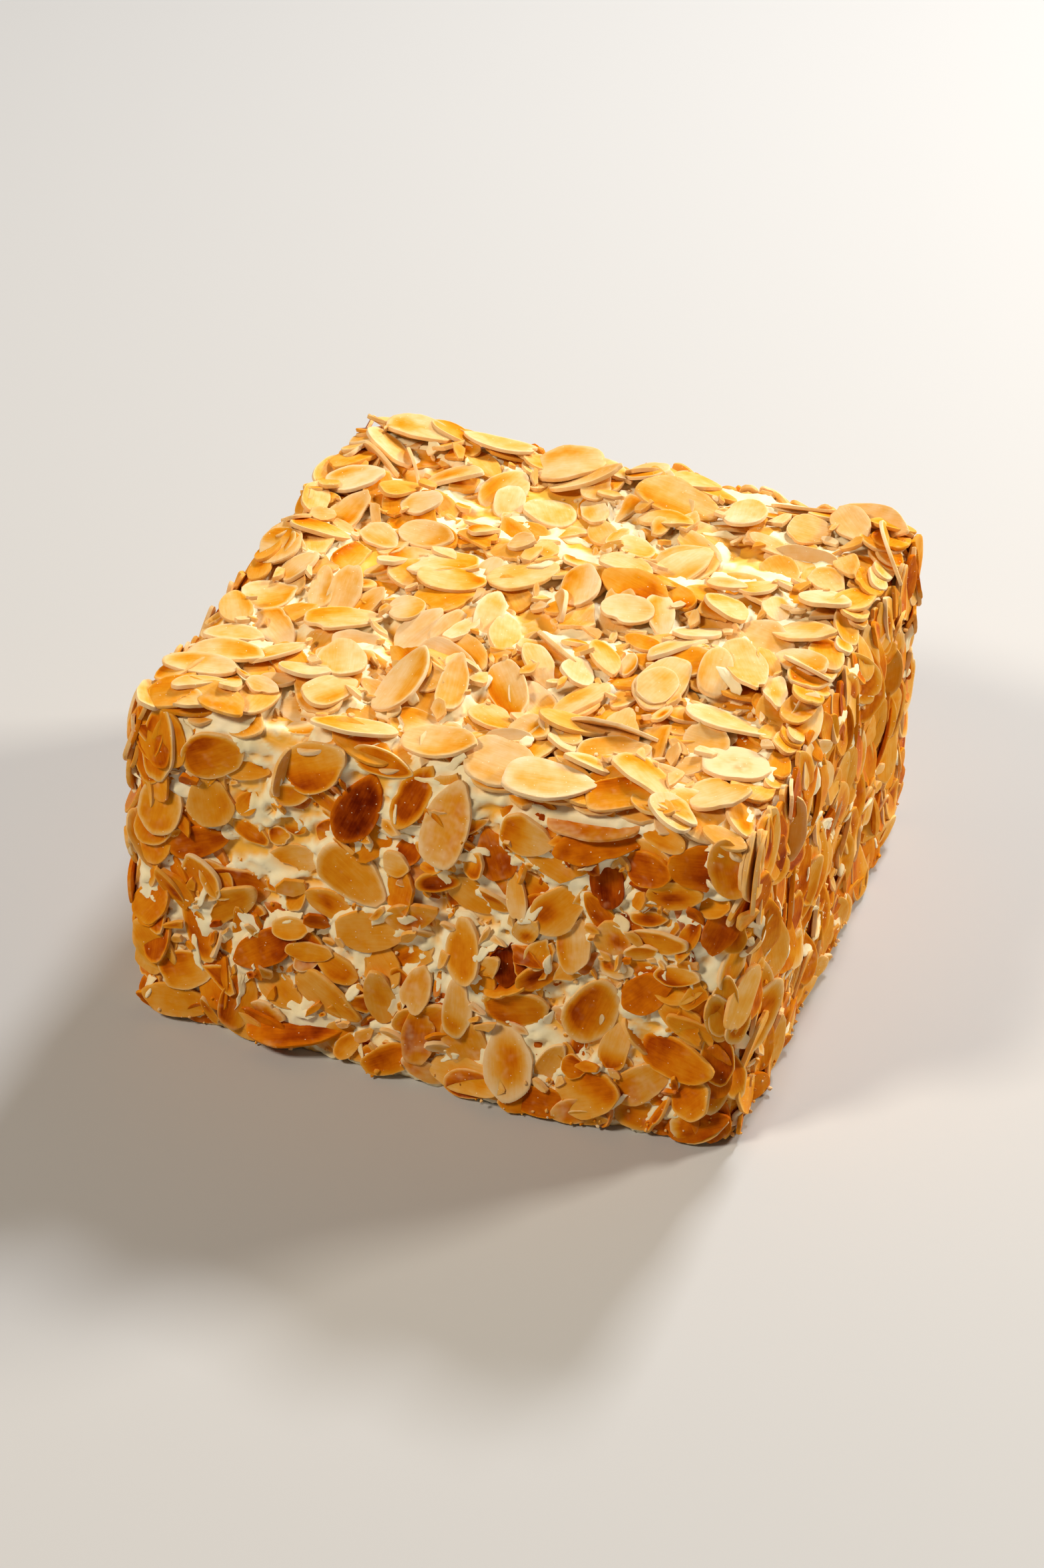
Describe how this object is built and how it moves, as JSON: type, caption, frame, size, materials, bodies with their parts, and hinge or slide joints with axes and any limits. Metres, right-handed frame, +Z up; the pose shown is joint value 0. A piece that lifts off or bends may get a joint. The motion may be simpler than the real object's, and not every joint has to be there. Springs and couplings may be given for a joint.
{
  "type": "sans rival cake",
  "caption": "Uncut square cake: an upright block of buttercream with toasted almond slices pressed on its sides and scattered over its top.",
  "frame": {"origin": "middle of the flat underside, on the surface that the cake stands on", "axes": "+Z up; the front face looks towards -Y and the right-hand face towards +X"},
  "size_m": [0.1519, 0.1528, 0.0871],
  "materials": {
    "toasted_almond": "toasted almond slices, satin, pale rims and browner centres",
    "buttercream": "ivory buttercream, soft satin"
  },
  "bodies": {
    "root": {"cake": "toasted_almond"}
  },
  "joints": []
}
